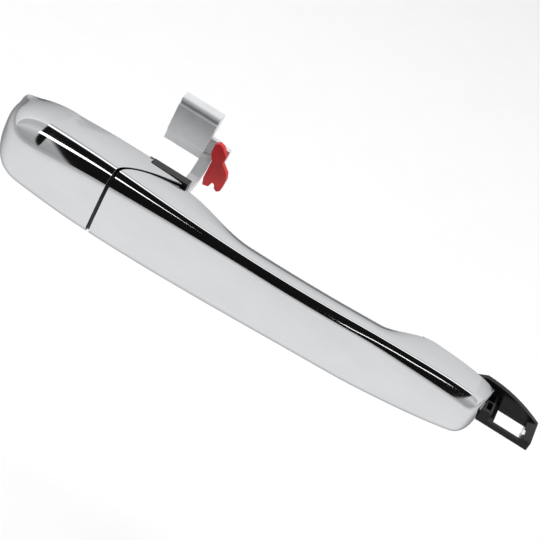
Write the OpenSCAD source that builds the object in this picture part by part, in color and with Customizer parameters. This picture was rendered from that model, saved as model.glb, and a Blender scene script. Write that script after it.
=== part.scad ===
// Right-hand outside door handle for a car: fixed end cap, pull grip and latch arm.
// X runs along the handle towards its pivot end, -Y points away from the door, +Z is up.
// The origin lies on the door skin, on the axis of the cap's fixing hole.

/* [Handle] */
// Rear end of the cap at the door, measured back from the fixing hole
cap_reach = 29.5; // [29:0.25:30]
// Where the cap ends and the grip begins on the outer face
seam_x = 25; // [24:0.5:26]
// Front end of the chromed grip
grip_end = 200; // [198:0.5:202]
// Deepest stand-off of the outer face from the door
face_depth = 30.6; // [30.2:0.1:31]
// Place along the handle where the outer face stands off furthest
face_mid = 52; // [50:1:54]
// Radius of the bow that the outer face follows
face_radius = 1150; // [1130:10:1170]
// Half of the handle's height at the seam
half_height = 16.2; // [16:0.1:16.6]
// Thickness of the grip from outer face to finger side
grip_thick = 14.5; // [14:0.25:15.5]
// Wall of the chromed mouldings
wall = 2.4; // [2.2:0.1:2.6]

/* [Seats] */
// Thickness of the rubber pads on the door skin
gasket_t = 1; // [0.8:0.1:1.2]
// Gap between the cap and the grip
seam_gap = 1.6; // [1.4:0.1:1.8]
// Stand-off of the grip's rear foot
rear_foot_y = -6.5; // [-7:0.1:-6.3]

/* [Latch arm] */
// Where the arm passes through the cap's tail
arm_x = 43; // [42.5:0.25:43.5]
// Width of the arm's stem
arm_w = 5; // [4.5:0.25:5.25]
// Width of the claw that pulls the latch lever
claw_w = 19; // [17:0.5:20]
// Depth at which the claw's face stands behind the door skin
claw_y = 36; // [35:0.5:38]

/* [Pivot] */
// Pivot axis along the handle
pivot_x = 219; // [218:0.5:220]
// Pivot axis behind the door skin
pivot_y = 8; // [7:0.5:9]

/* [Hidden] */
$fn = 48;
play = 0.3;
crown = 0.8;
shoulder = 5;
top_taper = 2;
nose_reach = 18;
end_round = 21.5;
door_corner = 3.5;
lip_half = 8;
tail_x = 32;
tail_end = 50;
tail_y = -5.6;
seam_depth = 24;
seam_sweep = 26;
seam_ref = seam_x + 5;
insert_r = 3.5;
screw_r = 1.5;
arm_low = -7;
arm_top = -2.5;
neck_x = 177;
tongue_x0 = 196;
tongue_y0 = pivot_y - 7;
tongue_y1 = pivot_y + 9.5;
web_low = -12.6;
web_top = -10.2;
wall_x = 191.5;
tongue_screw_x = [181, 187];
clip_x = 50.8;
clip_z = 9;
clip_y = claw_y - 1.8;
clip_t = 3;
pin_r = 1.2;

// ---- Lines and sections that all the chromed mouldings share ----
function ease(a, b, x) = let (t = max(0, min(1, (x - a) / (b - a)))) t * t * (3 - 2 * t);

// Stand-off of the outer face: one shallow bow along the whole handle
function face_y(x) = -face_depth + pow(x - face_mid, 2) / (2 * face_radius);

// Rounding of the two ends, 1 in the middle and near 0 at the tips
function end_factor(x) =
    let (a = max(0, min(1, (end_round - cap_reach - x) / end_round)),
         b = max(0, min(1, (x - grip_end + 35) / 44)))
    pow(1 - pow(a, 2.4), 1 / 2.4) * pow(1 - pow(b, 2.4), 1 / 2.4);

// Half height on the outer face, before and after its ends are rounded
function body_h(x) =
    half_height - 2 * ease(seam_x, 130, x) - 2 * ease(140, 190, x) - 2.4 * (1 - ease(-18, 20, x));
function half_h(x) = body_h(x) * end_factor(x);

// Radius of the upper shoulder: broad on the cap, tighter along the grip
function upper_shoulder(x) = 4 + 8 * (1 - ease(-25, 95, x)) + 1.5 * ease(140, 185, x);

// Rise of the outer face from the door over the cap's rounded rear end, from near 0 to 1
function nose(x) =
    let (a = max(0, min(1, (nose_reach - cap_reach - x) / nose_reach)))
    0.02 + 0.98 * pow(1 - pow(a, 2.2), 1 / 2.2);

// Half height at the door: the cap's rear end is squarer there than on the outer face
function door_h(x) =
    let (a = max(0, min(1, (door_corner - cap_reach - x) / door_corner)))
    x > 0 ? half_h(x) - top_taper + ease(140, 190, x)
          : (body_h(x) - top_taper * ease(-20, 0, x) - 5 * (1 - ease(-30, -4, x)))
            * pow(1 - pow(a, 2.4), 1 / 2.4);

// Finger side of the grip: two feet joined by a waist that follows the outer face
function back_y(x) =
    let (waist = face_y(x) + grip_thick,
         rear = waist + (rear_foot_y - waist) * (1 - ease(50, 86, x)))
    rear + (-gasket_t - play - rear) * ease(146, 170, x);

// Plan line along which the cap's tail and the grip's rear foot part
function seam_at(y) = seam_x + seam_sweep * pow(max(0, (y + seam_depth) / (seam_depth - 5)), 1.7);

// Half of a section, from the middle of the outer face round to the back edge.
// t is the inset from the outer skin, and lip says whether the back edge turns inwards.
function half_section(x, back, t, lip, shoulder) =
    let (h = max(0.4, half_h(x) - t),
         rise = nose(x),
         face = back - (back - face_y(x)) * rise + t + (x > 0 ? 4 * (1 - end_factor(x)) : 0),
         deep = shoulder * rise,
         flat_h = max(0.3 * h, h - shoulder),
         low = max(0.5 * h, door_h(x) - t))
    concat(
        [for (i = [0:3]) [face + crown * rise * pow(i / 4, 2), flat_h * i / 4]],
        [for (i = [0:4]) [
            face + crown * rise + deep * (1 - cos(22.5 * i)),
            flat_h + (h - flat_h) * sin(22.5 * i)]],
        [for (i = [1:4]) [
            face + crown * rise + deep + (back - t - face - crown * rise - deep) * i / 5,
            h - (h - low) * i / 5]],
        lip ? [[back - t - 1, low], [back - t, min(low - 0.8, lip_half + 0.6)], [back - t, min(low - 1, lip_half)]]
            : [[back, low]]
    );

// Whole section: the lower half has a tighter shoulder than the upper one
function section(x, back, t, lip) =
    let (low_half = half_section(x, back, t, lip, shoulder),
         up_half = half_section(x, back, t, lip, upper_shoulder(x)))
    concat([for (i = [len(low_half) - 1:-1:1]) [low_half[i].x, -low_half[i].y]], up_half);

// Solid wall between an outer and an inner grid of the same size
module thick_sheet(outer, inner) {
    n = len(outer);
    m = len(outer[0]);
    function q(a, b, c, d) = [[a, b, c], [a, c, d]];
    function o(i, j) = i * m + j;
    function s(i, j) = n * m + i * m + j;
    polyhedron(
        points = concat([for (row = outer) each row], [for (row = inner) each row]),
        faces = concat(
            [for (i = [0:n - 2], j = [0:m - 2]) each q(o(i, j), o(i, j + 1), o(i + 1, j + 1), o(i + 1, j))],
            [for (i = [0:n - 2], j = [0:m - 2]) each q(s(i, j), s(i + 1, j), s(i + 1, j + 1), s(i, j + 1))],
            [for (i = [0:n - 2]) each q(o(i, 0), o(i + 1, 0), s(i + 1, 0), s(i, 0))],
            [for (i = [0:n - 2]) each q(o(i, m - 1), s(i, m - 1), s(i + 1, m - 1), o(i + 1, m - 1))],
            [for (j = [0:m - 2]) each q(o(0, j), s(0, j), s(0, j + 1), o(0, j + 1))],
            [for (j = [0:m - 2]) each q(o(n - 1, j), o(n - 1, j + 1), s(n - 1, j + 1), s(n - 1, j))]
        ),
        convexity = 8
    );
}

// ---- Fixed end: cap, tail, pads ----
cap_rows = 14;
function cap_line_end(y, skin_y) = skin_y < tail_y - 1 ? seam_at(y) - seam_gap / 2 : tail_x;
function cap_grid(t) =
    let (ref = section(seam_ref, -gasket_t, t, false),
         skin = section(seam_ref, -gasket_t, 0, false))
    [for (i = [0:cap_rows])
        let (u = i / cap_rows, rear = -cap_reach + t)
        [for (j = [0:len(ref) - 1])
            let (x = rear + (cap_line_end(ref[j].x, skin[j].x) - rear) * pow(u, 1.7),
                 p = section(x, -gasket_t, t, false)[j])
            [x, p.x, p.y]]];

module cap_shell() {
    color("silver") thick_sheet(cap_grid(0), cap_grid(wall));
}

// Cylinder along Y from y0 to y1
module y_rod(x, z, r, y0, y1) {
    translate([x, y0, z]) rotate([-90, 0, 0]) cylinder(r = r, h = y1 - y0);
}

module prism(x0, x1, y0, y1, z0, z1) {
    translate([x0, y0, z0]) cube([x1 - x0, y1 - y0, z1 - z0]);
}

boss_len = 10;
function base_face(x) = face_y(x) + wall + crown + 0.9 + 2.6 * (1 - ease(-17, 14, x));

// Plate across the cap's section at the seam, inset by t from the skin
module seam_plate(x, thick, t) {
    translate([x, 0, 0]) rotate([90, 0, 90]) linear_extrude(thick) polygon(section(seam_x, -gasket_t, t, false));
}

module cap_base() {
    rear = -17;
    steps = 8;
    front = seam_x - seam_gap;
    plan = concat(
        [for (i = [0:steps])
            let (x = rear + (front - rear) * i / steps) [x, base_face(x)]],
        [[front, -gasket_t], [rear, -gasket_t]]);
    color("#1b1b1d") difference() {
        union() {
            translate([0, 0, -7.4]) linear_extrude(14.8) polygon(plan);
            seam_plate(seam_x - 3, 3.3, wall + 0.25);
            intersection() {
                seam_plate(seam_x - 0.7, 1, 0.45);
                prism(seam_x - 1, seam_x + 1, -40, -1.6 - seam_depth, -20, 20);
            }
            prism(front - 4, tail_end, tail_y + 0.4, -gasket_t, -11.2, 11.2);
            prism(tail_x + play, tail_end, tail_y + 0.4, -gasket_t, -15, 15);
            y_rod(0, 0, insert_r + 2.1, -gasket_t - 1, boss_len);
        }
        prism(arm_x - 3, tail_end + 1, tail_y - 1, 1, arm_low - 2, arm_top + 2);
        y_rod(0, 0, insert_r, boss_len - 10, boss_len + 1);
        for (x = [-10, 14]) y_rod(x, 0, screw_r, -22, 1);
        for (x = [-10, 14]) y_rod(x, 0, screw_r + 1.7, -3.4, 1);
        for (z = [-1, 1]) prism(-14, 20, -20, -gasket_t - 2.5, min(z * 2.6, z * 7), max(z * 2.6, z * 7));
    }
}

// Outline of a pad from x0 to x1, set in by inset from the handle's edge at the door
function seat_outline(x0, x1, inset) =
    let (n = 10, edge = [for (i = [0:n]) let (x = x0 + (x1 - x0) * i / n) [x, door_h(x) - inset]])
    concat(edge, [for (i = [n:-1:0]) [edge[i].x, -edge[i].y]]);

module cap_gasket() {
    color("#101010") difference() {
        union() {
            rotate([90, 0, 0]) linear_extrude(gasket_t - 0.05) polygon(seat_outline(1 - cap_reach, tail_x, 1.4));
            prism(tail_x - 2, tail_end, -gasket_t + 0.05, 0, -14, 14);
        }
        prism(arm_x - 3, tail_end + 1, -2, 1, arm_low - 2, arm_top + 2);
        y_rod(0, 0, 7, -2, 1);
        for (x = [-10, 14]) y_rod(x, 0, screw_r + 2, -2, 1);
    }
}

module cap_insert() {
    color("goldenrod") difference() {
        y_rod(0, 0, insert_r, boss_len - 10, boss_len);
        y_rod(0, 0, 2.1, boss_len - 11, boss_len + 1);
    }
}

// Self-tapping screw along Y: a head head_t thick ends at y1 and the thread runs back towards y0
module tapping_screw(x, z, y0, y1, head_t = 1.6) {
    difference() {
        union() {
            y_rod(x, z, screw_r, y0, y1);
            y_rod(x, z, screw_r + 1.3, y1 - head_t, y1);
        }
        translate([x, y1 + 0.1, z]) rotate([90, 0, 0]) linear_extrude(1.2) union() {
            square([2.6, 0.7], center = true);
            square([0.7, 2.6], center = true);
        }
    }
}

module cap_shell_screws() {
    color("#55585c") for (x = [-10, 14]) tapping_screw(x, 0, -20, -1.8);
}

module front_gasket() {
    color("#101010") difference() {
        rotate([90, 0, 0]) linear_extrude(gasket_t) polygon(seat_outline(164, tongue_x0 - 0.6, 2.2));
        prism(neck_x - 1, tongue_x0 + 1, -2, 1, -7.8, 7.8);
    }
}

// ---- Pull grip: chromed shell, finger-side cover and the carrier inside ----
grip_rows = 26;
function grip_grid(t) =
    let (ref = section(seam_ref, rear_foot_y, t, true))
    [for (i = [0:grip_rows])
        [for (j = [0:len(ref) - 1])
            let (start = seam_at(ref[j].x) + seam_gap / 2,
                 x = start + (grip_end - start) * i / grip_rows,
                 p = section(x, back_y(x), t, true)[j])
            [x, p.x, p.y]]];

module grip_shell() {
    color("silver") thick_sheet(grip_grid(0), grip_grid(wall));
}

cover_x0 = 60;
cover_x1 = 160;
cover_t = 2;
cover_screws = [87, 140];

// Points of the finger side from x0 to x1, moved by dy
function back_line(x0, x1, n, dy) =
    [for (i = [0:n]) let (x = x0 + (x1 - x0) * i / n) [x, back_y(x) + dy]];
function reversed(v) = [for (i = [len(v) - 1:-1:0]) v[i]];

module grip_cover() {
    half = lip_half - play;
    color("silver") difference() {
        translate([0, 0, -half]) linear_extrude(2 * half) polygon(concat(
            back_line(cover_x0, cover_x1, 24, -0.1),
            reversed(back_line(cover_x0, cover_x1, 24, -cover_t))));
        for (x = cover_screws) {
            y_rod(x, 0, screw_r + 0.2, back_y(x) - 4, back_y(x) + 1);
            y_rod(x, 0, screw_r + 1.5, back_y(x) - 1.2, back_y(x) + 1);
        }
    }
}

core_half = 7.6;
function core_face(x) = face_y(x) + wall + crown + 0.7 + 3.6 * ease(160, 190, x);
module grip_core() {
    front = seam_x + 5;
    plan = concat(
        [for (i = [0:14]) let (x = front + (190 - front) * i / 14) [x, core_face(x)]],
        [[190, -11], [neck_x, -11], [neck_x, -gasket_t - play - 0.2]],
        [[cover_x1 + 0.5, -gasket_t - play - 1.5]],
        reversed(back_line(cover_x0 - 0.5, cover_x1 + 0.5, 24, -cover_t - 0.4)),
        [[54, rear_foot_y - 0.2], [45, rear_foot_y - 0.2], [40, -9], [34, -14]]);
    color("#1b1b1d") difference() {
        translate([0, 0, -core_half]) linear_extrude(2 * core_half) polygon(plan);
        prism(arm_x - 0.05, arm_x + arm_w + 0.05, -18, 1, arm_low - 0.05, arm_top + 0.05);
        prism(50, 56, -7.9, -5, -5.05, 5.05);
        for (y = [-15, -10]) translate([arm_x + arm_w / 2, y, -core_half - 1])
            cylinder(r = screw_r, h = 2 * core_half + 2);
        for (x = cover_screws) y_rod(x, 0, screw_r, back_y(x) - 11, back_y(x) + 1);
        for (x = tongue_screw_x) y_rod(x, 0, screw_r, -15, -10);
        for (x = [96:14:124], z = [-1, 1]) prism(x - 5, x + 5, -22, 0, min(z * 1.2, z * 7), max(z * 1.2, z * 7));
    }
}

module grip_screws() {
    color("#55585c") for (x = cover_screws) tapping_screw(x, 0, back_y(x) - 10, back_y(x) - 0.15, 1);
}

module foot_buffer() {
    color("#151515") prism(50, 56, -7.9, rear_foot_y + 0.6, -5, 5);
}

// ---- Pivot end: the tongue with its eye ----
eye_x0 = pivot_x - 11;
eye_x1 = pivot_x + 2;
tongue_end = pivot_x + 6.5;
neck_half = 4.8;
function tongue_top(x) = -1.5 - 0.009 * pow(max(0, x - tongue_x0 - 1), 2);

module pivot_tongue() {
    profile = concat(
        [[wall_x, -7], [tongue_x0, web_low], [tongue_end, web_low]],
        [for (i = [8:-1:0]) let (x = tongue_x0 + 1 + (tongue_end - tongue_x0 - 1) * i / 8) [x, tongue_top(x)]],
        [[wall_x, -4.5]]);
    color("#0c0c0d") difference() {
        union() {
            translate([0, tongue_y1, 0]) rotate([90, 0, 0]) linear_extrude(2.4) polygon(profile);
            prism(tongue_x0, tongue_end, tongue_y0, tongue_y1 - 1, web_low, web_top);
            prism(eye_x1, tongue_end, tongue_y0, tongue_y1 - 1, web_low, web_top + 1.8);
            prism(neck_x + play, 199, tongue_y0 - 0.5, tongue_y1 - 1, -7, -3.5);
            prism(tongue_x0, eye_x0 - 2.5, tongue_y0, tongue_y1 - 1, web_low, -6.4);
            prism(neck_x + play, tongue_x0 - 1, -10.8, tongue_y0, -neck_half, neck_half);
        }
        prism(eye_x0, eye_x1, tongue_y0 + 1.8, tongue_y1 - 2.5, web_low - 1, web_top + 3);
        prism(206.5, 216, tongue_y1 - 1.7, tongue_y1 - 0.9, -7.6, -4.9);
        prism(199.5, 201.5, 3, 8, web_low - 1, 0);
        prism(202.3, 204.5, 3, 8, -9.5, 0);
        prism(199.5, 204.5, 9.2, 14, -9.5, 0);
        for (x = tongue_screw_x) {
            y_rod(x, 0, screw_r + 0.15, -12, 2);
            y_rod(x, 0, screw_r + 1.4, -7.5, tongue_y0 + 1);
        }
        prism(eye_x1 - 1, eye_x1 + 0.9, 4, 8, web_low - 1, web_top + 3);
    }
}

module tongue_screws() {
    color("#55585c") for (x = tongue_screw_x) tapping_screw(x, 0, -14.8, -5.9);
}

module pivot_pad() {
    color("#d8d8d2") prism(eye_x1 - 0.6, eye_x1 + 0.85, 4.05, 7.95, web_low + 0.3, web_top + 1.4);
}

module rattle_spring() {
    color("#c9ccd0") translate([0, 0, -6.9]) linear_extrude(1.8) polygon([
        [207, tongue_y1 - 1.4], [207, tongue_y1 - 1.1], [211.2, tongue_y1 - 1.3],
        [215.5, tongue_y1 - 1.1], [215.5, tongue_y1 - 1.4], [211.2, tongue_y1 - 1.6]]);
}

// ---- Latch arm and its clip ----
ear_y = clip_y + clip_t + play;
module latch_arm() {
    cy = claw_y;
    stem = [
        [-18, arm_low], [31, arm_low], [cy + 4, 2.5], [cy + 4, 13], [cy + 1.8, 13],
        [cy + 1.8, 5.5], [cy, 4.5], [30, arm_top], [-18, arm_top]];
    claw = concat(
        [[cy + 4, 1], [cy + 1.6, 1], [cy + 1.6, 4.6], [cy, 7.4], [cy, 20.4]],
        [[cy + 1.4, 20.8], [cy + 1.4, 21.8]],
        [for (a = [0:30:90]) [cy + 2 - 1.5 * cos(a), 22.4 + 1.5 * sin(a)]],
        [[cy + 7, 23.6], [cy + 7, 22], [cy + 4, 12]]);
    color("#b9bdc1") difference() {
        union() {
            translate([arm_x, 0, 0]) rotate([90, 0, 90]) linear_extrude(arm_w) polygon(stem);
            translate([arm_x - claw_w + 0.5, 0, 0]) rotate([90, 0, 90]) linear_extrude(claw_w) polygon(claw);
            prism(arm_x, clip_x + 2.6, ear_y, ear_y + 2.6, clip_z - 3, clip_z + 3);
        }
        y_rod(clip_x, clip_z, pin_r, ear_y - 1, ear_y + 4);
        for (y = [-15, -10]) translate([arm_x + arm_w / 2, y, arm_low - 1])
            cylinder(r = screw_r, h = arm_top - arm_low + 2);
    }
}

module arm_rivets() {
    color("#8e9297") for (y = [-15, -10]) translate([arm_x + arm_w / 2, y, -core_half])
        cylinder(r = screw_r, h = 2 * core_half);
}

// Stud riveted into the ear; the clip snaps onto its front end
module clip_pin() {
    color("#9a9da1") union() {
        y_rod(clip_x, clip_z, pin_r, clip_y + 1.2, ear_y + 4);
        y_rod(clip_x, clip_z, 2, ear_y - 0.2, ear_y);
    }
}

module pin_ring() {
    color("#2a2c2f") difference() {
        y_rod(clip_x, clip_z, 2.1, ear_y + 2.6, ear_y + 3.3);
        y_rod(clip_x, clip_z, pin_r, ear_y + 2, ear_y + 4);
    }
}

// Red clip: a flat lever with a notch between its two lobes
module red_clip() {
    color("#c21f1f") difference() {
        translate([0, clip_y + clip_t, 0]) rotate([90, 0, 0]) linear_extrude(clip_t) polygon([
            [46.6, 13.4], [48.2, 14.8], [50.4, 14.2], [53.6, 10.4], [53.4, 6.8], [57, 3.4], [58, 0.5],
            [57.8, -5.6], [56.4, -7], [54.8, -6.2], [54.2, -4.4], [53, -4], [52.2, -6.8],
            [49.4, -7.6], [48.5, -4], [48.5, 5.5], [46.6, 9]]);
        y_rod(clip_x, clip_z, pin_r + 0.05, clip_y + 1, clip_y + clip_t + 1);
    }
}

cap_shell();
cap_base();
cap_gasket();
cap_insert();
cap_shell_screws();
front_gasket();
grip_shell();
grip_cover();
grip_core();
grip_screws();
foot_buffer();
pivot_tongue();
tongue_screws();
pivot_pad();
rattle_spring();
latch_arm();
arm_rivets();
clip_pin();
pin_ring();
red_clip();
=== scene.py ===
import math

import bmesh
import bpy
import numpy as np
from mathutils import Matrix, Vector


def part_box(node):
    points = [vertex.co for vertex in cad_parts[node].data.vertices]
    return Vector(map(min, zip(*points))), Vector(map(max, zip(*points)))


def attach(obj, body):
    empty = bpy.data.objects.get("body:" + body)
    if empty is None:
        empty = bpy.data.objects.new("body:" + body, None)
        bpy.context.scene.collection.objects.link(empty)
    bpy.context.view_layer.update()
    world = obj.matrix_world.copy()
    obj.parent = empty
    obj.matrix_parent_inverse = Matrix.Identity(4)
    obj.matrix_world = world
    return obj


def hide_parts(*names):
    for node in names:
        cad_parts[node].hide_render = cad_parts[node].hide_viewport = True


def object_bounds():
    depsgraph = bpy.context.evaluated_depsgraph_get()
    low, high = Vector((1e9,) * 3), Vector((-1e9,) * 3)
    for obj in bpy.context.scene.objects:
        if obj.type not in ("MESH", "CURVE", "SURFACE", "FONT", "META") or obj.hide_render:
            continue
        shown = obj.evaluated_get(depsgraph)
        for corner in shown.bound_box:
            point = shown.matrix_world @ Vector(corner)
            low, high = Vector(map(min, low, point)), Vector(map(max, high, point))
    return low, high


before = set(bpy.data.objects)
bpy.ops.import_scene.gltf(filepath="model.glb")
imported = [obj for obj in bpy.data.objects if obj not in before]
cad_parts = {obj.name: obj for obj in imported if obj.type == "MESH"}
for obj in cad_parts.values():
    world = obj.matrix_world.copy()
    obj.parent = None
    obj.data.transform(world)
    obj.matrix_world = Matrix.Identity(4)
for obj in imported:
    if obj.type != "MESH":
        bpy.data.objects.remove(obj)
cadLow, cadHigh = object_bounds()
mm = 0.001
print("frame loaded:", len(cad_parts), "nodes")

# ---------- the handle's own lines, in millimetres ----------

handle = {
    # outer face and section
    "faceMid": 52, "faceRadius": 1150, "gripThick": 14.5, "crown": 0.8, "squareness": 2.3,
    "leastFlat": 0.25, "leastDoor": 0.5,
    # half height: where it slims along X, and by how much
    "halfHeight": 16.2, "slimTo": 130, "slimBy": 2, "frontRun": (140, 190), "frontSlim": 2,
    "rearRun": (-45, 22), "rearSlim": 2.9, "rearRound": 21.5, "frontRound": (35, 44), "roundPower": 2.4,
    # door side and finger side
    "gasket": 1, "play": 0.3, "rearFoot": -6.5, "rearWaist": (50, 86), "frontWaist": (146, 170), "lipHalf": 8,
    "taper": 2, "taperRun": (-20, 0), "doorCorner": 3.5, "doorSlim": 5, "doorRun": (-30, -4),
    # shoulders: one size below, and above a size that changes along X
    "shoulder": 5, "upperShoulder": 4, "capShoulder": 10, "capRun": (-60, 95),
    "frontShoulder": 1.5, "frontShoulderRun": (140, 185),
    # parting line between cap and grip
    "seamX": 25, "seamGap": 1.6, "seamDepth": 24, "seamStart": 5, "seamSweep": 26, "seamPower": 1.7,
    "tailX": 32, "tailY": -5.6,
}


def boxMm(node):
    # a CAD node's lowest and highest corners, in millimetres
    low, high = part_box(node)
    return np.array(low) / mm, np.array(high) / mm


handle["capEnd"] = float(boxMm("cap_shell")[0][0])
handle["gripEnd"] = float(boxMm("grip_shell")[1][0])
handle["faceDepth"] = -float(boxMm("grip_shell")[0][1])


def ease(a, b, x):
    # a smooth step: 0 below a, 1 above b, and 3t^2 - 2t^3 between
    t = np.clip((x - a) / (b - a), 0, 1)
    return t * t * (3 - 2 * t)


def faceAt(x):
    # stand-off of the outer face: a parabola with its deepest point at faceMid
    return -handle["faceDepth"] + (x - handle["faceMid"]) ** 2 / (2 * handle["faceRadius"])


def roundedOff(reach):
    # a superellipse quarter: 1 at reach 0, falling to 0 at reach 1
    power = handle["roundPower"]
    return (1 - np.clip(reach, 0, 1) ** power) ** (1 / power)


def endFactor(x):
    # superellipse quarters that round the outline at both tips, 1 in the middle
    before, length = handle["frontRound"]
    rear = roundedOff((handle["rearRound"] + handle["capEnd"] - x) / handle["rearRound"])
    return rear * roundedOff((x - handle["gripEnd"] + before) / length)


def bodyAt(x):
    # half height without its rounded ends: full at the seam, less along the grip and towards the cap's end
    slim = handle["slimBy"] * ease(handle["seamX"], handle["slimTo"], x)
    body = handle["halfHeight"] - slim - handle["frontSlim"] * ease(*handle["frontRun"], x)
    return body - handle["rearSlim"] * (1 - ease(*handle["rearRun"], x))


def halfAt(x):
    # half height on the outer face: the body's height times the end rounding
    return bodyAt(x) * endFactor(x)


def doorHalfAt(x):
    # half height at the door: the outer one less a taper, and at the cap's rear end its own short corner
    corner = handle["doorCorner"]
    grip = halfAt(x) - handle["taper"] + handle["frontSlim"] / 2 * ease(*handle["frontRun"], x)
    cap = bodyAt(x) - handle["taper"] * ease(*handle["taperRun"], x)
    cap = cap - handle["doorSlim"] * (1 - ease(*handle["doorRun"], x))
    return np.where(x > 0, grip, cap * roundedOff((corner + handle["capEnd"] - x) / corner))


def shoulderAt(x, side):
    # radius of the shoulder: constant below, and above a base plus smooth steps up to the cap and the front
    cap = handle["capShoulder"] * (1 - ease(*handle["capRun"], x))
    upper = handle["upperShoulder"] + cap + handle["frontShoulder"] * ease(*handle["frontShoulderRun"], x)
    return np.where(side < 0, handle["shoulder"], upper)


def backAt(x):
    # finger side: rear foot, then a waist parallel to the outer face, then down to the front foot
    waist = faceAt(x) + handle["gripThick"]
    rear = waist + (handle["rearFoot"] - waist) * (1 - ease(*handle["rearWaist"], x))
    return rear + (-handle["gasket"] - handle["play"] - rear) * ease(*handle["frontWaist"], x)


def seamAt(y):
    # the parting line: straight across the outer face, then swept forward as a power of the depth
    reach = np.maximum(0, (y + handle["seamDepth"]) / (handle["seamDepth"] - handle["seamStart"]))
    return handle["seamX"] + handle["seamSweep"] * reach ** handle["seamPower"]


def sectionAt(x, side, face, back, half, shoulderY, shoulderZ, corner, inner):
    # upper half of a section as four stretches told apart by side, a number from 0 to 4: 0-1 crowned face,
    # 1-2 superellipse shoulder, 2-3 side that leans in as the square of its run, 3-4 back edge and lip
    power = 2 / handle["squareness"]
    flat = np.maximum(handle["leastFlat"] * half, half - shoulderZ)
    turn = np.clip(side - 1, 0, 1) * math.pi / 2
    z = flat * np.clip(side, 0, 1) + (half - flat) * np.sin(turn) ** power
    y = face + handle["crown"] * (z / np.maximum(half, 0.01)) ** 2 + shoulderY * (1 - np.cos(turn) ** power)
    lean = np.clip(side - 2, 0, 1)
    low = np.maximum(handle["leastDoor"] * half, doorHalfAt(x) - (halfAt(x) - half) * (x > 0))
    shoulderEnd = face + handle["crown"] + shoulderY
    y = y + (back - corner - shoulderEnd) * lean
    z = z - (half - low) * lean ** 2
    bend = np.clip((side - 3) * 2, 0, 1) * math.pi / 2
    y = y + corner * np.sin(bend)
    z = z - corner * (1 - np.cos(bend))
    run = np.clip((side - 3.5) * 2, 0, 1)
    z = z + (np.minimum(inner, z) - z) * run
    return y, z


def columnSides(faces, shoulders, sides, lips):
    # section stations for the upper half, closer together round the shoulder and the back edge
    parts = [np.linspace(0, 1, faces, endpoint=False), 1 + np.linspace(0, 1, shoulders, endpoint=False),
             2 + np.linspace(0, 1, sides, endpoint=False), 3 + np.linspace(0, 1, lips)]
    half = np.concatenate(parts)
    return np.concatenate([-half[:0:-1], half])


def gridObject(name, points):
    # a sheet of quads over a grid of points given in millimetres, doubles merged
    rows, columns = points.shape[:2]
    index = np.arange(rows * columns).reshape(rows, columns)
    quads = np.stack([index[:-1, :-1], index[1:, :-1], index[1:, 1:], index[:-1, 1:]], axis=-1)
    mesh = bpy.data.meshes.new(name)
    mesh.from_pydata((points.reshape(-1, 3) * mm).tolist(), [], quads.reshape(-1, 4).tolist())
    cleaned(mesh, 2e-6)
    return placed(name, mesh)


def cleaned(mesh, gap):
    # merges doubles, drops faces that have no area and shades the rest smooth
    work = bmesh.new()
    work.from_mesh(mesh)
    bmesh.ops.remove_doubles(work, verts=work.verts, dist=gap)
    bmesh.ops.dissolve_degenerate(work, edges=work.edges, dist=gap)
    work.to_mesh(mesh)
    work.free()
    mesh.polygons.foreach_set("use_smooth", np.ones(len(mesh.polygons), dtype=bool))
    mesh.update()


def placed(name, mesh):
    # an object at the origin that shows the mesh
    piece = bpy.data.objects.new(name, mesh)
    bpy.context.scene.collection.objects.link(piece)
    return piece


def rounded(piece, width, segments=3, angle=40):
    # bevels the edges that are sharper than the angle, with even shading over the flats
    bevel = piece.modifiers.new("edges", "BEVEL")
    bevel.width = width * mm
    bevel.segments = segments
    bevel.limit_method = "ANGLE"
    bevel.angle_limit = math.radians(angle)
    bevel.miter_outer = "MITER_ARC"
    even = piece.modifiers.new("even", "WEIGHTED_NORMAL")
    even.keep_sharp = True
    return piece


def walled(piece, thickness):
    # gives a sheet its wall, inwards from the sheet
    wall = piece.modifiers.new("wall", "SOLIDIFY")
    wall.thickness = thickness * mm
    wall.offset = -1
    return piece


def finished(piece, material, body, slotName, *nodes):
    # material and body of a piece, and the CAD nodes that it stands for, which it hides; slotName is not used
    piece.data.materials.clear()
    piece.data.materials.append(material)
    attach(piece, body)
    if nodes:
        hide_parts(*nodes)
    return piece


def softened(nodeName, width, segments=2):
    # a copy of a CAD node with its doubles merged and flats joined, so that its edges can be rounded
    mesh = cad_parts[nodeName].data.copy()
    mesh.name = nodeName + "_soft"
    work = bmesh.new()
    work.from_mesh(mesh)
    bmesh.ops.remove_doubles(work, verts=work.verts, dist=4e-6)
    bmesh.ops.dissolve_limit(work, angle_limit=math.radians(2), verts=work.verts, edges=work.edges)
    bmesh.ops.recalc_face_normals(work, faces=work.faces)
    work.to_mesh(mesh)
    work.free()
    mesh.polygons.foreach_set("use_smooth", np.ones(len(mesh.polygons), dtype=bool))
    mesh.update()
    return rounded(placed(nodeName + "_soft", mesh), width, segments)


# ---------- finishes ----------

def startMaterial(name):
    # a new material with its node tree, its shader and its object coordinates
    material = bpy.data.materials.new(name)
    material.use_nodes = True
    tree = material.node_tree
    shader = tree.nodes["Principled BSDF"]
    place = tree.nodes.new("ShaderNodeTexCoord")
    return material, tree, shader, place.outputs["Object"]


def noiseOn(tree, place, scale, detail=3, stretch=(1, 1, 1)):
    # noise in object space, drawn out along an axis by a small number in stretch
    mapping = tree.nodes.new("ShaderNodeMapping")
    mapping.inputs["Scale"].default_value = stretch
    noise = tree.nodes.new("ShaderNodeTexNoise")
    noise.inputs["Scale"].default_value = scale
    noise.inputs["Detail"].default_value = detail
    tree.links.new(place, mapping.inputs["Vector"])
    tree.links.new(mapping.outputs["Vector"], noise.inputs["Vector"])
    return noise.outputs["Fac"]


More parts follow.
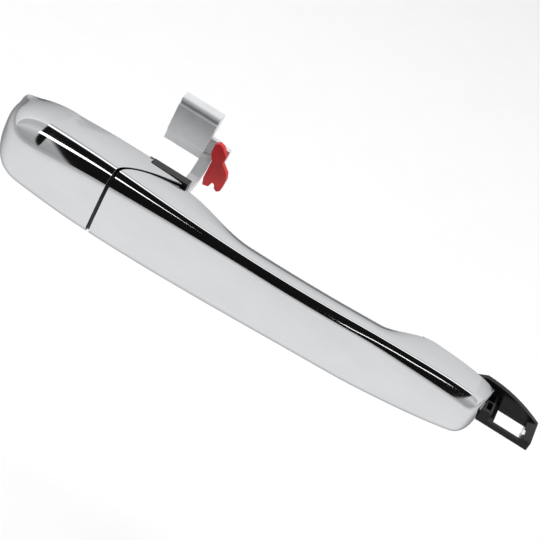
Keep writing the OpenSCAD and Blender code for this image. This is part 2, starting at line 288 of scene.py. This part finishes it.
def spread(tree, value, low, high, fromLow=0.3, fromHigh=0.7):
    # maps a value from one range to another and clamps it
    remap = tree.nodes.new("ShaderNodeMapRange")
    remap.inputs["From Min"].default_value = fromLow
    remap.inputs["From Max"].default_value = fromHigh
    remap.inputs["To Min"].default_value = low
    remap.inputs["To Max"].default_value = high
    tree.links.new(value, remap.inputs["Value"])
    return remap.outputs["Result"]


def tinted(tree, value, dark, light):
    # a colour between two tints, chosen by a value from 0 to 1
    mix = tree.nodes.new("ShaderNodeMix")
    mix.data_type = "RGBA"
    mix.inputs["A"].default_value = (*dark, 1)
    mix.inputs["B"].default_value = (*light, 1)
    tree.links.new(value, mix.inputs["Factor"])
    return mix.outputs["Result"]


def embossed(tree, shader, value, strength, depth):
    # a bump from a value, with its depth in millimetres
    bump = tree.nodes.new("ShaderNodeBump")
    bump.inputs["Strength"].default_value = strength
    bump.inputs["Distance"].default_value = depth * mm
    tree.links.new(value, bump.inputs["Height"])
    tree.links.new(bump.outputs["Normal"], shader.inputs["Normal"])


finishes = {
    "chromeDark": (0.67, 0.68, 0.695), "chromeLight": (0.72, 0.725, 0.735), "chromeRough": (0.03, 0.06),
    "chromeEdge": (0.3, 0.3, 0.31), "chromeSmudge": 70, "chromePeel": 160,
    "nylonDark": (0.006, 0.006, 0.007), "nylonLight": (0.016, 0.016, 0.018), "nylonRough": (0.32, 0.5),
    "nylonGrain": 2600, "nylonPatch": 220,
    "zincDark": (0.60, 0.61, 0.625), "zincLight": (0.67, 0.68, 0.69),
    "glossDark": (0.004, 0.004, 0.0045), "glossLight": (0.011, 0.011, 0.012), "glossRough": (0.10, 0.24),
    "glossFlow": 180, "glossGrain": 900, "glossSpecular": 0.16, "glossCoat": 0.12, "glossCoatRough": 0.08,
    "rubberDark": (0.012, 0.012, 0.012), "rubberLight": (0.03, 0.03, 0.031), "rubberRough": (0.62, 0.85),
    "rubberGrain": 1800, "rubberPatch": 300,
    "redDark": (0.46, 0.002, 0.006), "redLight": (0.62, 0.006, 0.010),
}


def makeChrome():
    # bright plating: faint long smudges in the roughness and a trace of orange peel in the surface
    material, tree, shader, place = startMaterial("chrome")
    smudge = noiseOn(tree, place, finishes["chromeSmudge"], 4, (0.5, 1, 1))
    shader.inputs["Metallic"].default_value = 1
    shader.inputs["Specular Tint"].default_value = (*finishes["chromeEdge"], 1)
    tree.links.new(spread(tree, smudge, *finishes["chromeRough"]), shader.inputs["Roughness"])
    tint = spread(tree, smudge, 0, 1)
    colour = tinted(tree, tint, finishes["chromeDark"], finishes["chromeLight"])
    tree.links.new(colour, shader.inputs["Base Color"])
    embossed(tree, shader, noiseOn(tree, place, finishes["chromePeel"], 2), 0.12, 0.012)
    return material


def makeNylon():
    # moulded nylon: fine grain under soft, slightly paler patches
    material, tree, shader, place = startMaterial("blackNylon")
    grain = noiseOn(tree, place, finishes["nylonGrain"], 3)
    patches = noiseOn(tree, place, finishes["nylonPatch"], 3)
    tree.links.new(tinted(tree, spread(tree, patches, 0, 1), finishes["nylonDark"], finishes["nylonLight"]),
                   shader.inputs["Base Color"])
    tree.links.new(spread(tree, patches, *finishes["nylonRough"]), shader.inputs["Roughness"])
    embossed(tree, shader, grain, 0.35, 0.04)
    return material


def makeGloss():
    # glossy black moulding: low roughness with soft flow marks
    material, tree, shader, place = startMaterial("blackGloss")
    flow = noiseOn(tree, place, finishes["glossFlow"], 4, (0.4, 1, 1))
    tree.links.new(tinted(tree, spread(tree, flow, 0, 1), finishes["glossDark"], finishes["glossLight"]),
                   shader.inputs["Base Color"])
    tree.links.new(spread(tree, flow, *finishes["glossRough"]), shader.inputs["Roughness"])
    shader.inputs["Specular IOR Level"].default_value = finishes["glossSpecular"]
    shader.inputs["Coat Weight"].default_value = finishes["glossCoat"]
    shader.inputs["Coat Roughness"].default_value = finishes["glossCoatRough"]
    embossed(tree, shader, noiseOn(tree, place, finishes["glossGrain"], 2), 0.1, 0.02)
    return material


def makeRubber():
    # dull rubber: matt, with a soft mottled grain
    material, tree, shader, place = startMaterial("rubber")
    grain = noiseOn(tree, place, finishes["rubberGrain"], 4)
    tree.links.new(tinted(tree, spread(tree, grain, 0, 1), finishes["rubberDark"], finishes["rubberLight"]),
                   shader.inputs["Base Color"])
    mottle = noiseOn(tree, place, finishes["rubberPatch"])
    tree.links.new(spread(tree, mottle, *finishes["rubberRough"]), shader.inputs["Roughness"])
    embossed(tree, shader, grain, 0.4, 0.05)
    return material


def makeMetal(name, dark, light, rough, scratchDepth, brushing=(1, 1, 1), metallic=1):
    # plated or turned metal: clouded colour, and scratches that vary the roughness and the surface
    material, tree, shader, place = startMaterial(name)
    shader.inputs["Metallic"].default_value = metallic
    clouds = spread(tree, noiseOn(tree, place, 120, 4), 0, 1)
    brushed = noiseOn(tree, place, 900, 3, brushing)
    tree.links.new(tinted(tree, clouds, dark, light), shader.inputs["Base Color"])
    tree.links.new(spread(tree, brushed, *rough), shader.inputs["Roughness"])
    embossed(tree, shader, brushed, 0.25, scratchDepth)
    return material


def makePlastic(name, dark, light, rough, grainDepth):
    # coloured plastic: slight colour drift, fine grain
    material, tree, shader, place = startMaterial(name)
    drift = spread(tree, noiseOn(tree, place, 200, 3), 0, 1)
    tree.links.new(tinted(tree, drift, dark, light), shader.inputs["Base Color"])
    tree.links.new(spread(tree, noiseOn(tree, place, 500), *rough), shader.inputs["Roughness"])
    embossed(tree, shader, noiseOn(tree, place, 2200), 0.25, grainDepth)
    return material


chrome = makeChrome()
blackNylon = makeNylon()
blackGloss = makeGloss()
rubber = makeRubber()
brass = makeMetal("brass", (0.62, 0.42, 0.16), (0.75, 0.53, 0.23), (0.22, 0.4), 0.02)
screwSteel = makeMetal("screwSteel", (0.30, 0.31, 0.33), (0.42, 0.43, 0.45), (0.25, 0.42), 0.02)
springSteel = makeMetal("springSteel", (0.55, 0.56, 0.58), (0.66, 0.67, 0.68), (0.18, 0.3), 0.01,
                        brushing=(0.1, 1, 1))
armZinc = makeMetal("armZinc", finishes["zincDark"], finishes["zincLight"], (0.3, 0.38), 0.001,
                    brushing=(1, 0.3, 0.3), metallic=0.4)
acetal = makePlastic("acetal", (0.62, 0.61, 0.57), (0.72, 0.71, 0.67), (0.3, 0.45), 0.02)
redNylon = makePlastic("redNylon", finishes["redDark"], finishes["redLight"], (0.28, 0.42), 0.02)
print("finishes made")

# ---------- chromed mouldings ----------

capShape = {
    "rows": 90, "faces": 18, "shoulders": 22, "sides": 22, "lips": 3,
    "tipReach": 18, "tipPower": 2.2, "tipInset": 0.4, "tipDepth": 0.02, "leastHalf": 0.4,
    "tailBlend": 0.3, "rowPower": 1.7, "rounds": 12, "wall": 0.5, "edge": 0.15,
}


def capPoints(shape):
    # rows run from the rear tip to the parting line; at the tip a superellipse takes the face to the door
    side = columnSides(shape["faces"], shape["shoulders"], shape["sides"], shape["lips"])
    sign = np.where(side < 0, -1, 1)

    def surface(x):
        half = np.maximum(halfAt(x), shape["leastHalf"])
        back = -handle["gasket"] + 0 * x
        inward = np.clip((handle["capEnd"] + shape["tipReach"] - x) / shape["tipReach"], 0, 1)
        fullness = (1 - inward ** shape["tipPower"]) ** (1 / shape["tipPower"])
        fullness = shape["tipDepth"] + (1 - shape["tipDepth"]) * fullness
        face = back - (back - faceAt(x)) * fullness
        shoulder = shoulderAt(x, side)
        y, z = sectionAt(x, np.abs(side), face, back, half, shoulder * fullness, shoulder, 0.0, 99)
        return y, z

    end = np.full(side.shape, float(handle["seamX"]))
    for _ in range(shape["rounds"]):
        y, z = surface(end)
        onSeam = seamAt(y) - handle["seamGap"] / 2
        onTail = ease(handle["tailY"] - shape["tailBlend"], handle["tailY"] + shape["tailBlend"], y)
        goal = onSeam + (handle["tailX"] - onSeam) * onTail
        end = 0.5 * (end + goal)
    run = np.linspace(0, 1, shape["rows"]) ** shape["rowPower"]
    tip = handle["capEnd"] + shape["tipInset"]
    x = tip + (end[None, :] - tip) * run[:, None]
    y, z = surface(x)
    return np.stack([x, y, z * sign], axis=-1)


capChrome = walled(gridObject("cap_chrome", capPoints(capShape)), capShape["wall"])
rounded(capChrome, capShape["edge"], 2, 50)
finished(capChrome, chrome, "root", "chrome", "cap_shell")

gripShape = {
    "rows": 190, "faces": 18, "shoulders": 22, "sides": 16, "lips": 14,
    "corner": 1.2, "tipReach": 8, "tipPower": 2.4, "tipDepth": 0.02, "tipHalf": 0.75,
    "rowEase": 0.35, "rounds": 14, "wall": 0.6, "edge": 0.15,
}


def gripPoints(shape):
    # rows run from the parting line to the front tip, where the face falls back to the foot on a superellipse
    side = columnSides(shape["faces"], shape["shoulders"], shape["sides"], shape["lips"])
    sign = np.where(side < 0, -1, 1)

    def surface(x):
        outward = np.clip((x - handle["gripEnd"] + shape["tipReach"]) / shape["tipReach"], 0, 1)
        fullness = (1 - outward ** shape["tipPower"]) ** (1 / shape["tipPower"])
        back = backAt(x)
        half = halfAt(x) * (shape["tipHalf"] + (1 - shape["tipHalf"]) * fullness)
        fullness = shape["tipDepth"] + (1 - shape["tipDepth"]) * fullness
        face = back - (back - faceAt(x)) * fullness
        shoulder = shoulderAt(x, side)
        corner = shape["corner"] * fullness
        y, z = sectionAt(x, np.abs(side), face, back, half, shoulder * fullness, shoulder, corner,
                         handle["lipHalf"])
        return y, z

    start = np.full(side.shape, float(handle["seamX"]))
    for _ in range(shape["rounds"]):
        y, z = surface(start)
        start = 0.5 * (start + seamAt(y) + handle["seamGap"] / 2)
    turn = np.linspace(0, 1, shape["rows"])
    run = np.sin(turn * math.pi / 2) * shape["rowEase"] + turn * (1 - shape["rowEase"])
    x = start[None, :] + (handle["gripEnd"] - start[None, :]) * run[:, None]
    y, z = surface(x)
    return np.stack([x, y, z * sign], axis=-1)


gripChrome = walled(gridObject("grip_chrome", gripPoints(gripShape)), gripShape["wall"])
rounded(gripChrome, gripShape["edge"], 2, 50)
finished(gripChrome, chrome, "grip", "chrome", "grip_shell")
finished(softened("grip_cover", 0.3), chrome, "grip", "chrome", "grip_cover")
print("chromed mouldings made")

# ---------- pieces whose CAD shape only needs softer edges ----------

softPieces = {
    "cap_base": (blackNylon, "root", "black_nylon", 0.25),
    "pivot_tongue": (blackGloss, "grip", "black_gloss", 0.3),
    "latch_arm": (armZinc, "grip", "arm_zinc", 0.3),
    "red_clip": (redNylon, "clip", "red_nylon", 0.35),
    "clip_pin": (springSteel, "grip", "spring_steel", 0.15),
    "pivot_pad": (acetal, "grip", "acetal", 0.15),
}
for nodeName, (material, body, slotName, width) in softPieces.items():
    finished(softened(nodeName, width), material, body, slotName, nodeName)

plainNodes = {
    "cap_gasket": rubber, "front_gasket": rubber, "foot_buffer": rubber,
    "cap_insert": brass, "cap_shell_screws": screwSteel, "grip_screws": screwSteel,
    "tongue_screws": screwSteel,
    "grip_core": blackNylon, "rattle_spring": springSteel, "arm_rivets": springSteel, "pin_ring": screwSteel,
}
for nodeName, material in plainNodes.items():
    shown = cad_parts[nodeName]
    shown.data.materials.clear()
    shown.data.materials.append(material)
print("remaining pieces made")

# ---------- floor, light and camera ----------

studio = {
    "floorDrop": 0.25, "floorSize": 12, "floorPoints": 9, "floorColour": (0.86, 0.86, 0.86),
    # brightness round the long axis, in degrees from the -Y horizon over the top to the +Y horizon
    "middle": [(0, 0.007), (115, 0.009), (118, 1.7), (123, 1.7), (126, 0.5), (130, 0.5), (134, 0.92),
               (180, 1.05)],
    "ends": [(0, 0.42), (40, 0.5), (75, 0.8), (100, 0.6), (116, 0.62), (122, 1.1), (128, 0.95),
             (180, 0.85)],
    "below": 0.8, "stageSeen": 0.95,
    # the middle ramp holds inside the flag and the ends ramp outside: its centre and edge along X, and a
    # parabola that widens it between the horizon and bulgeEnd, a share of the half turn
    "flagCentre": 0.02, "flagEdge": (0.33, 0.34), "flagBulge": 0.66, "bulgeEnd": 0.75,
    # light strips: centre in degrees, slope in degrees per unit of X, half width in degrees,
    # then start, stop and the length over which the strip tapers to nothing along X
    "strips": [(70, 0, 6.0, -0.42, -0.08, 0.28), (3, 190, 3.0, 0.12, 0.38, 0.03)], "stripLight": 2.6,
    "stripStart": 0.005,
    "topPower": 26, "topSize": 1.6, "topHeight": 1.5,
}


def makeFloor():
    # a broad pale floor well below the handle
    size = studio["floorSize"]
    low = cadLow.z - studio["floorDrop"]
    edge = np.linspace(-size, size, studio["floorPoints"])
    across, along = np.meshgrid(edge, edge)
    grid = np.stack([across, along, np.full(across.shape, low)], axis=-1) / mm
    floor = gridObject("floor", grid)
    material, tree, shader, place = startMaterial("floor")
    speckle = spread(tree, noiseOn(tree, place, 40, 4), 0, 1)
    colour = studio["floorColour"]
    paler = tuple(c + 0.01 for c in colour)
    tree.links.new(tinted(tree, speckle, colour, paler), shader.inputs["Base Color"])
    shader.inputs["Roughness"].default_value = 0.8
    shader.inputs["Specular IOR Level"].default_value = 0.1
    floor.data.materials.append(material)


def stepNode(tree, operation, *values):
    # one math node fed by links or plain numbers
    node = tree.nodes.new("ShaderNodeMath")
    node.operation = operation
    for socket, value in zip(node.inputs, values):
        if isinstance(value, (int, float)):
            socket.default_value = value
        else:
            tree.links.new(value, socket)
    return node.outputs["Value"]


def bandRamp(tree, turn, bands):
    # brightness by the angle round the long axis, as stops along a ramp from 0 to 180 degrees
    ramp = tree.nodes.new("ShaderNodeValToRGB")
    peak = max(level for _, level in bands)
    elements = ramp.color_ramp.elements
    elements.remove(elements[-1])
    elements[0].position = bands[0][0] / 180
    elements[0].color = (bands[0][1] / peak,) * 3 + (1,)
    for where, level in bands[1:]:
        stop = elements.new(where / 180)
        stop.color = (level / peak,) * 3 + (1,)
    tree.links.new(turn, ramp.inputs["Fac"])
    return stepNode(tree, "MULTIPLY", ramp.outputs["Color"], peak)


def blended(tree, share, a, b):
    # a where share is 0, b where it is 1
    mix = tree.nodes.new("ShaderNodeMix")
    for socket, value in (("Factor", share), ("A", a), ("B", b)):
        if isinstance(value, (int, float)):
            mix.inputs[socket].default_value = value
        else:
            tree.links.new(value, mix.inputs[socket])
    return mix.outputs["Result"]


def makeWorld():
    # soft room light, with a flag that darkens the -Y side and the top where the handle's face mirrors them
    world = bpy.data.worlds.new("studio")
    bpy.context.scene.world = world
    world.use_nodes = True
    tree = world.node_tree
    place = tree.nodes.new("ShaderNodeTexCoord")
    parts = tree.nodes.new("ShaderNodeSeparateXYZ")
    tree.links.new(place.outputs["Generated"], parts.inputs["Vector"])
    along = parts.outputs["X"]
    outward = stepNode(tree, "MULTIPLY", parts.outputs["Y"], -1)
    angle = stepNode(tree, "ARCTAN2", parts.outputs["Z"], outward)
    turn = stepNode(tree, "DIVIDE", angle, math.pi)
    middle = bandRamp(tree, turn, studio["middle"])
    ends = bandRamp(tree, turn, studio["ends"])
    bulge = stepNode(tree, "MULTIPLY", turn, stepNode(tree, "SUBTRACT", studio["bulgeEnd"], turn))
    away = stepNode(tree, "ABSOLUTE", stepNode(tree, "SUBTRACT", along, studio["flagCentre"]))
    away = stepNode(tree, "SUBTRACT", away, stepNode(tree, "MULTIPLY", bulge, studio["flagBulge"]))
    light = blended(tree, spread(tree, away, 0, 1, *studio["flagEdge"]), middle, ends)
    for centre, slope, halfWidth, start, stop, fade in studio["strips"]:
        middleLine = stepNode(tree, "MULTIPLY_ADD", along, slope / 180, centre / 180)
        off = stepNode(tree, "ABSOLUTE", stepNode(tree, "SUBTRACT", turn, middleLine))
        fromStart = spread(tree, along, 0, 1, start, start + studio["stripStart"])
        toStop = spread(tree, along, 1, 0, stop - fade, stop)
        width = stepNode(tree, "MULTIPLY", stepNode(tree, "MULTIPLY", fromStart, toStop), halfWidth / 180)
        inside = stepNode(tree, "LESS_THAN", off, width)
        light = blended(tree, inside, light, studio["stripLight"])
    light = blended(tree, stepNode(tree, "LESS_THAN", parts.outputs["Z"], 0), light, studio["below"])
    seen = tree.nodes.new("ShaderNodeLightPath").outputs["Is Camera Ray"]
    background = tree.nodes["Background"]
    background.inputs["Color"].default_value = (1, 1, 1, 1)
    tree.links.new(blended(tree, seen, light, studio["stageSeen"]), background.inputs["Strength"])


def makeLights():
    # a broad softbox overhead that lights the matt surfaces and isn't mirrored in the chrome
    lamp = bpy.data.lights.new("softbox", "AREA")
    lamp.shape = "RECTANGLE"
    lamp.size = studio["topSize"]
    lamp.size_y = studio["topSize"]
    lamp.energy = studio["topPower"]
    box = bpy.data.objects.new("softbox", lamp)
    box.location = (0.1, 0.1, studio["topHeight"])
    box.visible_glossy = False
    bpy.context.scene.collection.objects.link(box)


cameraView = {
    "elevation": 35.0, "azimuth": 3.6, "roll": 29.9, "lens": 108.33, "sensor": 36.0,
    # the aim point, and how far it lies to the right of the view's axis and below it at that distance
    "aim": (0.098, -0.018, 0.001), "aimShift": (-0.002834, 0.00668), "distance": 0.6579,
}


def makeCamera():
    # the camera looks at the aim point from an elevation and an azimuth, rolled about its own axis
    e, a, r = (math.radians(cameraView[k]) for k in ("elevation", "azimuth", "roll"))
    back = Vector((math.sin(a) * math.cos(e), -math.cos(a) * math.cos(e), math.sin(e)))
    right = Vector((math.cos(a), math.sin(a), 0))
    up = back.cross(right)
    toRight, downward = cameraView["aimShift"]
    across = toRight * math.cos(r) + downward * math.sin(r)
    along = toRight * math.sin(r) - downward * math.cos(r)
    where = Vector(cameraView["aim"]) + cameraView["distance"] * back - across * right - along * up
    turnedRight = math.cos(r) * right + math.sin(r) * up
    turnedUp = -math.sin(r) * right + math.cos(r) * up
    lens = bpy.data.cameras.new("camera")
    lens.lens = cameraView["lens"]
    lens.sensor_width = cameraView["sensor"]
    lens.clip_start = 0.01
    camera = bpy.data.objects.new("camera", lens)
    bpy.context.scene.collection.objects.link(camera)
    camera.matrix_world = Matrix((
        (turnedRight.x, turnedUp.x, back.x, where.x), (turnedRight.y, turnedUp.y, back.y, where.y),
        (turnedRight.z, turnedUp.z, back.z, where.z), (0, 0, 0, 1)))
    bpy.context.scene.camera = camera


makeFloor()
makeWorld()
makeLights()
makeCamera()
bpy.context.scene.view_settings.view_transform = "Standard"
print("studio made")
